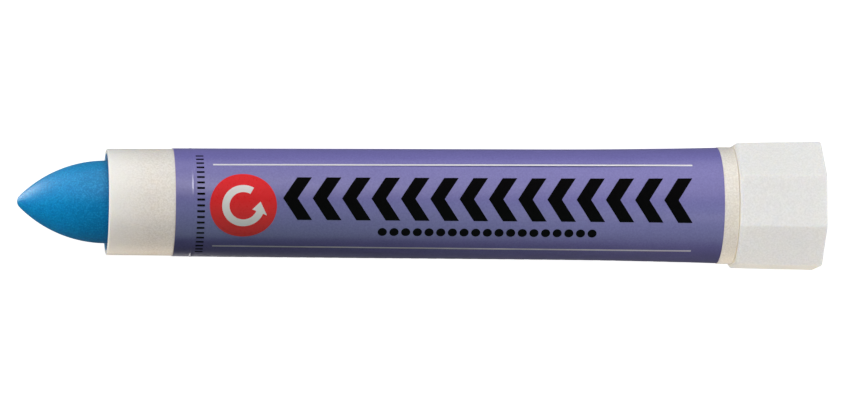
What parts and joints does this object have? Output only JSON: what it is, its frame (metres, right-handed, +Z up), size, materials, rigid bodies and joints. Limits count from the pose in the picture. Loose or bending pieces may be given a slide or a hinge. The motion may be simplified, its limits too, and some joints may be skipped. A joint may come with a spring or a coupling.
{
  "type": "solid paint marker",
  "caption": "Twist-up solid paint marker: a round barrel with a film label, a blunt-nosed paint stick in its mouth and an eight-sided rear knob that winds the stick out on a screw.",
  "frame": {"origin": "on the table under the middle of the lying marker: centre of the box in X and Y, at its lowest point in Z", "axes": "the marker lies along X with its nose toward -X and the knob's end face toward +X, one flat of the knob faces down, and +Z is up"},
  "size_m": [0.127, 0.0198, 0.0198],
  "materials": {
    "barrel_ivory": "satin moulded polypropylene, warm ivory",
    "label_violet": "glossy printed film, muted violet",
    "bush_white": "moulded acetal, off-white",
    "paint_blue": "cast solid paint, waxy satin blue",
    "carrier_natural": "moulded natural polypropylene",
    "screw_grey": "moulded grey polypropylene",
    "seal_rubber": "black nitrile rubber",
    "knob_white": "satin moulded polypropylene, neutral white"
  },
  "bodies": {
    "barrel_assembly": {"barrel": "barrel_ivory", "label_film": "label_violet", "rear_bush": "bush_white"},
    "knob_assembly": {"propel_knob": "knob_white", "drive_screw": "screw_grey", "journal_seal_ring": "seal_rubber"},
    "stick_assembly": {"paint_stick": "paint_blue", "stick_carrier": "carrier_natural"}
  },
  "joints": [
    {"name": "knob_turn", "type": "hinge", "parent": "barrel_assembly", "child": "knob_assembly", "pos_m": [0.05658, 0, 0.0099], "axis": [-1, 0, 0], "range_deg": [0, 4320]},
    {"name": "stick_slide", "type": "slide", "parent": "barrel_assembly", "child": "stick_assembly", "axis": [-1, 0, 0], "range_m": [0, 0.072]}
  ],
  "couplings": [
    {"joint": "stick_slide", "follows": "knob_turn", "m_per_rad": 0.00095493}
  ]
}
